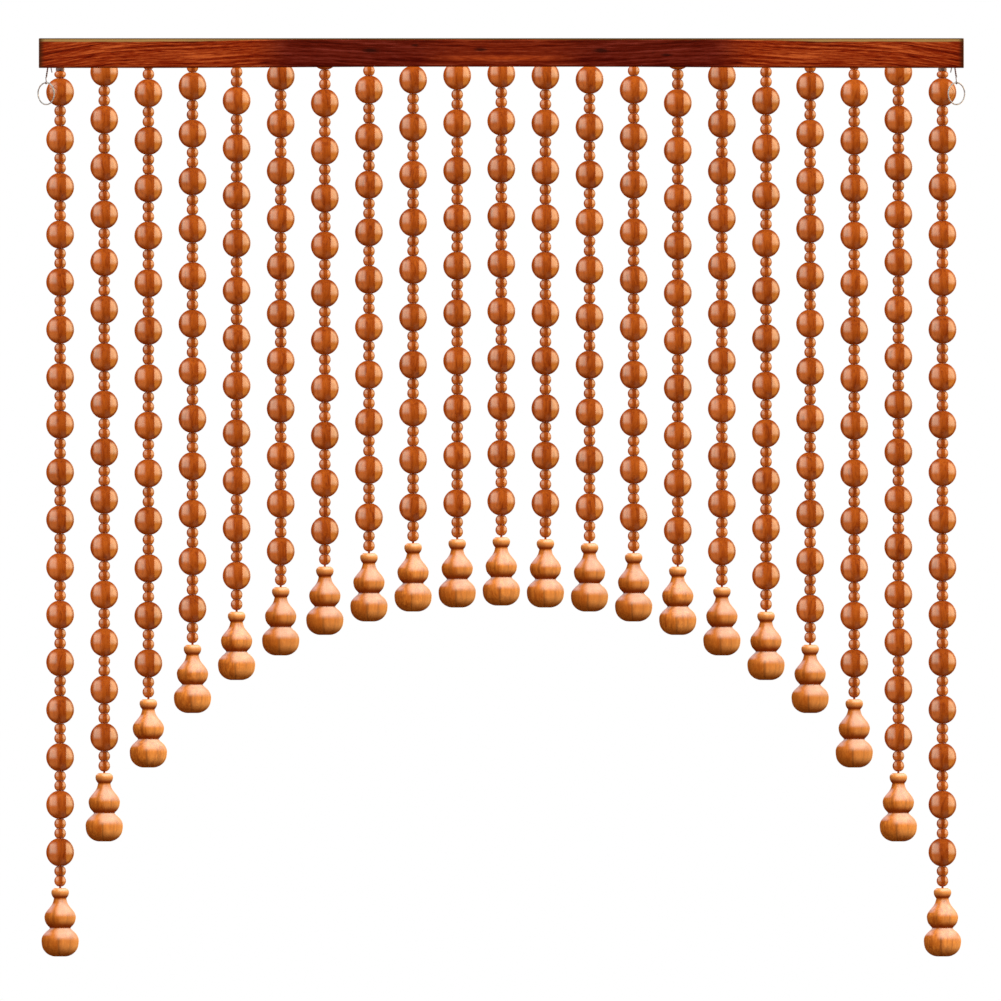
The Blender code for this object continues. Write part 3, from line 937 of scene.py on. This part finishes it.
def build_ring(side, mirror, metal):
    turned = Matrix.Rotation(mirror * RING_TURN, 3, "Z")
    centre = Vector((mirror * RING_X, RING_Y, RING_Z))
    path = []
    for step in range(RING_STEPS):
        angle = step * math.tau / RING_STEPS
        path.append(centre + turned @ (RING_RADIUS * Vector((math.cos(angle), 0.0, math.sin(angle)))))
    mesh = wire_mesh(f"ring_wire_{side}", [path], RING_WIRE_RADIUS, cyclic=True)
    return show(f"ring_wire_{side}", mesh, f"ring_{side}", metal)


def build_link(side, mirror, metal):
    """Two wires twisted round each other down to the knee, and one of them hooked round the ring."""
    top = mirrored(LINK_TOP, mirror)
    knee = mirrored(LINK_KNEE, mirror)
    hook_centre = Vector((mirror * RING_X, RING_Y, RING_Z + RING_RADIUS))
    down = (knee - top).normalized()
    side_way = down.cross(Vector((0.0, 1.0, 0.0))).normalized()
    back_way = down.cross(side_way)
    # The wires bite into each other a little
    spread = LINK_WIRE_RADIUS * 0.95
    paths = []
    for half in range(2):
        path = []
        for step in range(LINK_STEPS + 1):
            t = step / LINK_STEPS
            angle = half * math.pi + LINK_TWISTS * math.tau * t
            offset = side_way * math.cos(angle) + back_way * math.sin(angle)
            path.append(top.lerp(knee, t) + offset * spread)
        paths.append(path)
    up = Vector((0.0, 0.0, LINK_HOOK_RADIUS))
    across = LINK_HOOK_RADIUS * Vector((-mirror * math.sin(RING_TURN), math.cos(RING_TURN), 0.0))
    hook = []
    for step in range(LINK_HOOK_STEPS + 1):
        angle = step / LINK_HOOK_STEPS * LINK_HOOK_TURN
        hook.append(hook_centre + up * math.cos(angle) + across * math.sin(angle))
    start = paths[0][-1]
    for step in range(1, 5):
        paths[0].append(start.lerp(hook[0], step / 5))
    paths[0].extend(hook)
    mesh = wire_mesh(f"link_wire_{side}", paths, LINK_WIRE_RADIUS)
    return show(f"link_wire_{side}", mesh, f"link_{side}", metal)


def build_wire_end(side, mirror, metal):
    top = mirrored(WIRE_END_TOP, mirror)
    foot = mirrored(WIRE_END_FOOT, mirror)
    path = [top.lerp(foot, step / 6) for step in range(7)]
    mesh = wire_mesh(f"cut_wire_{side}", [path], WIRE_END_RADIUS)
    return show(f"cut_wire_{side}", mesh, f"wire_end_{side}", metal)


def build_cap(side, mirror, metal):
    """A pressed cap with a rolled rim, held between the rail and the first bead."""
    foot = -CAP_HEIGHT - 2 * GAP
    outline = [
        (CAP_HOLE_RADIUS, 0.0),
        (CAP_RADIUS - 0.35 * MM, 0.0),
        (CAP_RADIUS - 0.1 * MM, -0.15 * MM),
        (CAP_RADIUS - 0.1 * MM, foot + 0.8 * MM),
        (CAP_RADIUS, foot + 0.6 * MM),
        (CAP_RADIUS, foot + 0.2 * MM),
        (CAP_RADIUS - 0.2 * MM, foot),
        (CAP_HOLE_RADIUS, foot),
    ]
    shape = Gathered()
    points, faces = turn(outline, CAP_SEGMENTS)
    # The outline runs down the outside, so its faces turn round to look outwards
    faces = faces[:, ::-1]
    place = np.array([mirror * (STRANDS // 2) * STRAND_PITCH, 0.0, -RAIL_HEIGHT])
    shape.add(points + place, faces, points / MM, 0.0)
    mesh = shape.mesh(f"pressed_cap_{side}")
    mesh.set_sharp_from_angle(angle=math.radians(40.0))
    return show(f"pressed_cap_{side}", mesh, f"cap_{side}", metal)


def main():
    make_camera()
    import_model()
    bpy.context.scene.view_settings.view_transform = "Standard"
    make_world()
    make_floor(floor_material())
    build_rail(rail_material())
    bead_wood = bead_material()
    gourd_wood = gourd_material()
    cord = cord_material()
    draw = random.Random(TURNING_SEED)
    middle = STRANDS // 2
    gourds = []
    for number in range(1, STRANDS + 1):
        from_middle = number - 1 - middle
        x = from_middle * STRAND_PITCH
        from_outside = middle - abs(from_middle)
        gourd_top = GOURD_HEIGHT - DROPS[from_outside]
        ceiling = -RAIL_WEB - GAP if from_outside else -RAIL_HEIGHT - CAP_HEIGHT - 2 * GAP
        build_strand(number, x, gourd_top, ceiling, draw, bead_wood, cord)
        gourds.append(build_gourd(number, x, gourd_top, draw, gourd_wood))
    make_gourd_light(gourds)
    steel = metal_material("drawn_steel", srgb(136, 138, 142), srgb(92, 92, 96), 0.2, 0.5, 0.65)
    dark = metal_material("dark_plated_metal", srgb(80, 66, 74), srgb(44, 34, 38), 0.3, 0.5, 0.65)
    pressed = metal_material("brown_plated_metal", srgb(66, 46, 48), srgb(34, 18, 22), 0.3, 0.5, 0.7)
    for side, mirror in (("left", -1), ("right", 1)):
        build_ring(side, mirror, steel)
        build_link(side, mirror, dark)
        build_wire_end(side, mirror, dark)
        build_cap(side, mirror, pressed)


main()
